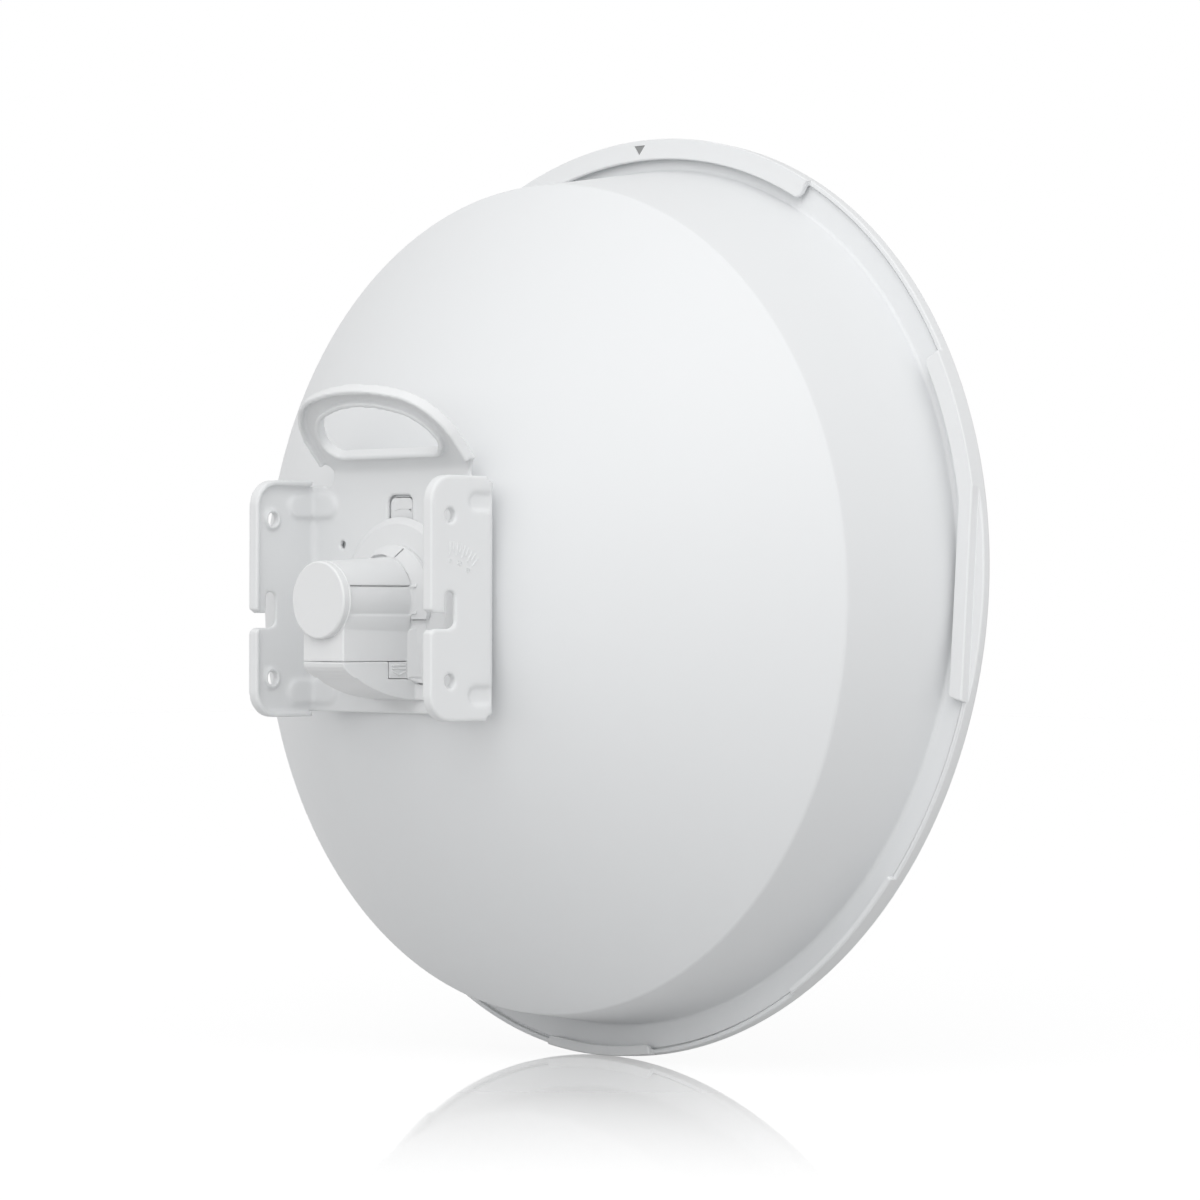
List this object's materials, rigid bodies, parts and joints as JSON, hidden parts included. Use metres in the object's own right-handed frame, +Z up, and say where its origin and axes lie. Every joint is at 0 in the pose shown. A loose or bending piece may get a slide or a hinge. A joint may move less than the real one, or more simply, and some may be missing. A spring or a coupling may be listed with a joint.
{
  "type": "outdoor wireless bridge",
  "caption": "Shrouded dish radio link with radome, folded steel mounting channel with carrying handle, rear radio tube and slide-down cable door.",
  "frame": {"origin": "midway between the two bracket flanges, on the line through the middle of their bolt holes", "axes": "+Z up, -Y the way the antenna looks, +Y towards the pole, +X the bracket's left flange seen from the front"},
  "size_m": [0.459, 0.2596, 0.4585],
  "materials": {
    "dish_paint": "satin powder coat",
    "radome_plastic": "fine satin, UV stabilised",
    "bracket_paint": "satin powder coat",
    "zinc_steel": "zinc plated",
    "housing_plastic": "fine satin",
    "cap_plastic": "smooth satin",
    "circuit_board": "solder mask",
    "tinned_shield": "tinned",
    "black_epoxy": "moulded",
    "gap_pad": "soft",
    "bare_aluminium": "mill",
    "jack_plastic": "moulded",
    "contact_gold": "plated",
    "button_plastic": "moulded",
    "lamp_plastic": "clear resin",
    "clear_plastic": "polished",
    "seal_rubber": "matt"
  },
  "bodies": {
    "bridge": {"dish_reflector": "dish_paint", "radome_cover": "radome_plastic", "mount_bracket": "bracket_paint", "bracket_screws": "zinc_steel", "bracket_nuts": "zinc_steel", "mounting_base": "housing_plastic", "root_collar": "housing_plastic", "radio_body": "housing_plastic", "top_cover": "housing_plastic", "end_cap": "cap_plastic", "radio_board": "circuit_board", "radio_shield": "tinned_shield", "processor_shield": "tinned_shield", "radio_chips": "black_epoxy", "thermal_pad": "gap_pad", "heat_spreader": "bare_aluminium", "lan_transformer": "black_epoxy", "network_jack": "jack_plastic", "jack_contacts": "contact_gold", "reset_switch": "black_epoxy", "status_lamps": "lamp_plastic", "light_pipes": "clear_plastic", "feed_tube": "housing_plastic", "feed_seal": "seal_rubber", "dipole_cross": "circuit_board", "sub_reflector": "bare_aluminium", "feed_cap": "housing_plastic"},
    "cable_door": {"cable_door": "housing_plastic"},
    "door_latch_left": {"door_latch_left": "housing_plastic"},
    "door_latch_right": {"door_latch_right": "housing_plastic"},
    "reset_button": {"reset_button": "button_plastic"},
    "release_latch": {"release_latch": "housing_plastic"}
  },
  "joints": [
    {"name": "door_slide", "type": "slide", "parent": "bridge", "child": "cable_door", "axis": [0, 0, -1], "range_m": [0, 0.028]},
    {"name": "door_latch_left_press", "type": "slide", "parent": "cable_door", "child": "door_latch_left", "axis": [-1, 0, 0], "range_m": [0, 0.0012], "stiffness_N_per_m": 1500},
    {"name": "door_latch_right_press", "type": "slide", "parent": "cable_door", "child": "door_latch_right", "axis": [1, 0, 0], "range_m": [0, 0.0012], "stiffness_N_per_m": 1500},
    {"name": "reset_press", "type": "slide", "parent": "bridge", "child": "reset_button", "axis": [0, 0, 1], "range_m": [0, 0.0005], "stiffness_N_per_m": 1500},
    {"name": "release_latch_press", "type": "slide", "parent": "bridge", "child": "release_latch", "axis": [0, -1, 0], "range_m": [0, 0.0015], "stiffness_N_per_m": 2000}
  ]
}
